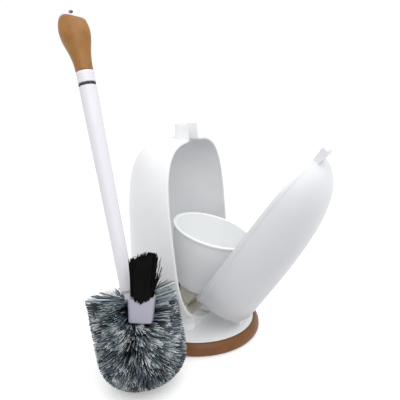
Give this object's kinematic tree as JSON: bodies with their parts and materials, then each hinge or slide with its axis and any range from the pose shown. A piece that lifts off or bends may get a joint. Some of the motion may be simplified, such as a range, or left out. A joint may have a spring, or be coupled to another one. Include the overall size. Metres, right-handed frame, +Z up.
{
  "type": "toilet brush holder",
  "caption": "Upright capsule toilet brush caddy on a rubber-ringed round base, with a front door that swings forward, a rocking drip cup and its long-handled brush.",
  "frame": {"origin": "centre of the base's underside, on the floor", "axes": "+Z up, the door opens towards -Y, X across the hinge; the brush stands on the -X side"},
  "size_m": [0.2493, 0.2523, 0.3589],
  "materials": {
    "white_plastic": "satin",
    "cup_plastic": "satin",
    "grey_plastic": "satin",
    "tan_rubber": "matte",
    "tan_grip": "satin",
    "black_rubber": "matte",
    "black_bristle": "matte",
    "grey_bristle": "matte",
    "zinc_steel": "satin"
  },
  "bodies": {
    "base": {"base_disc": "white_plastic", "base_ring": "tan_rubber", "base_plate": "white_plastic", "base_screw_1": "zinc_steel", "base_screw_2": "zinc_steel", "base_screw_3": "zinc_steel", "back_shell": "white_plastic", "pivot_cradle": "grey_plastic", "cup_pin": "zinc_steel"},
    "door": {"door_shell": "white_plastic", "door_pin": "zinc_steel", "link_pin_door": "zinc_steel"},
    "cup": {"drip_cup": "cup_plastic", "cup_rocker": "grey_plastic", "rocker_buffer": "black_rubber", "link_pin_cup": "zinc_steel"},
    "link": {"link_bar": "grey_plastic"},
    "brush": {"tube": "white_plastic", "neck_sleeve": "white_plastic", "neck_ring": "black_rubber", "grip": "tan_grip", "end_cap": "white_plastic", "brush_core": "white_plastic", "bristle_head": "grey_bristle", "tuft_block": "white_plastic", "rim_tuft": "black_bristle"}
  },
  "joints": [
    {"name": "door_hinge", "type": "hinge", "parent": "base", "child": "door", "pos_m": [0, -0.0539, 0.031], "axis": [1, 0, 0], "range_deg": [-39.4, 0]},
    {"name": "cup_hinge", "type": "hinge", "parent": "base", "child": "cup", "pos_m": [0, 0.013, 0.027], "axis": [1, 0, 0], "range_deg": [-13, 0]},
    {"name": "link_pivot", "type": "hinge", "parent": "cup", "child": "link", "pos_m": [0, -0.008, 0.0395], "axis": [1, 0, 0], "range_deg": [0, 16.4]},
    {"name": "brush_lift", "type": "slide", "parent": "base", "child": "brush", "axis": [0, 0, 1], "range_m": [0, 0.12]}
  ],
  "couplings": [
    {"joint": "cup_hinge", "follows": "door_hinge", "ratio": 0.3299},
    {"joint": "link_pivot", "follows": "door_hinge", "ratio": -0.4109}
  ]
}
